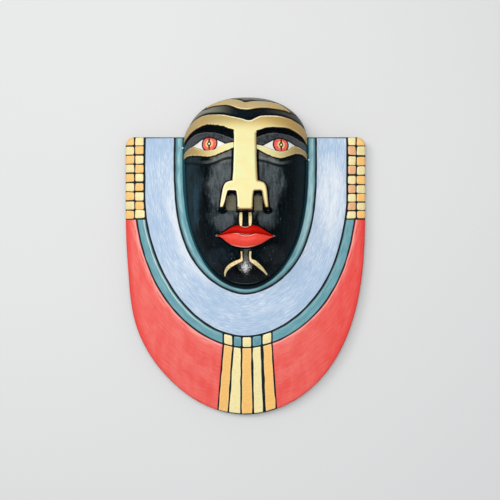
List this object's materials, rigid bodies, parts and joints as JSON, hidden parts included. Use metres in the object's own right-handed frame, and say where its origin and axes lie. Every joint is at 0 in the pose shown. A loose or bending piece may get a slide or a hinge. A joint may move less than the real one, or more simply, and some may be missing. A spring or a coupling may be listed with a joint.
{
  "type": "wall mask",
  "caption": "Wall mask: an egg-shaped head with raised bands, eyes, lips and a straight nose, standing out of a broad banded collar; hollow behind the head.",
  "frame": {"origin": "on the flat back plane, under the middle of the outline", "axes": "+Z out of the back plane towards the face, +Y from the chin to the crown, +X to the right as seen from the front"},
  "size_m": [0.2636, 0.3498, 0.0966],
  "materials": {
    "painted_cast": "hand-painted in blue, teal, red, black and gold, satin"
  },
  "bodies": {
    "root": {"mask": "painted_cast"}
  },
  "joints": []
}
